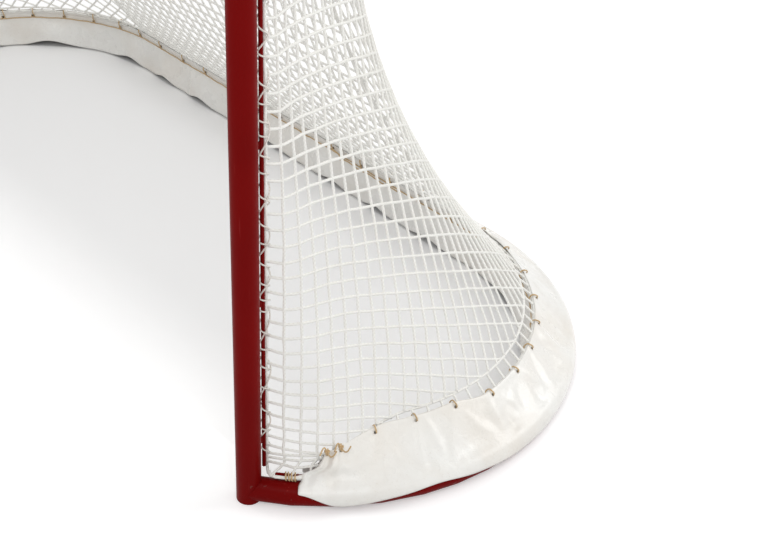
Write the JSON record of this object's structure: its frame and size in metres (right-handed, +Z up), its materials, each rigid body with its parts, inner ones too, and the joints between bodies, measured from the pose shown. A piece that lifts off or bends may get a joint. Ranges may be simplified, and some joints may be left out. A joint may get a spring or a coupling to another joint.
{
  "type": "ice hockey goal",
  "caption": "Ice hockey goal with a red steel tube frame, a laced twine net and a white coated-cloth skirt over the base tube.",
  "frame": {"origin": "middle of the footprint, on the ice", "axes": "+X towards the right post seen from the front, +Y towards the back of the goal, +Z up"},
  "size_m": [2.4362, 1.0545, 1.2738],
  "materials": {
    "red_paint": "gloss red paint on steel tube, scuffed near the ice",
    "net_twine": "off-white braided nylon twine",
    "skirt_vinyl": "white coated cloth with a soft gloss",
    "white_cord": "white braided lacing cord",
    "tan_cord": "waxed tan lacing cord"
  },
  "bodies": {
    "root": {"post_right": "red_paint", "post_left": "red_paint", "crossbar": "red_paint", "base_tube_right": "red_paint", "base_tube_left": "red_paint", "base_tube_back": "red_paint", "top_tube_right": "red_paint", "top_tube_left": "red_paint", "top_tube_back": "red_paint", "post_lacing_rod_right": "red_paint", "post_lacing_rod_left": "red_paint", "crossbar_lacing_rod": "red_paint", "base_lacing_rod_right": "red_paint", "base_lacing_rod_left": "red_paint", "base_lacing_rod_back": "red_paint", "net_side_right": "net_twine", "net_side_left": "net_twine", "net_back": "net_twine", "net_top": "net_twine", "skirt_outer": "skirt_vinyl", "skirt_inner": "skirt_vinyl", "post_lacing_right": "white_cord", "post_lacing_left": "white_cord", "crossbar_lacing": "white_cord", "skirt_lacing": "tan_cord", "skirt_tie_right": "tan_cord", "skirt_tie_left": "tan_cord"}
  },
  "joints": []
}
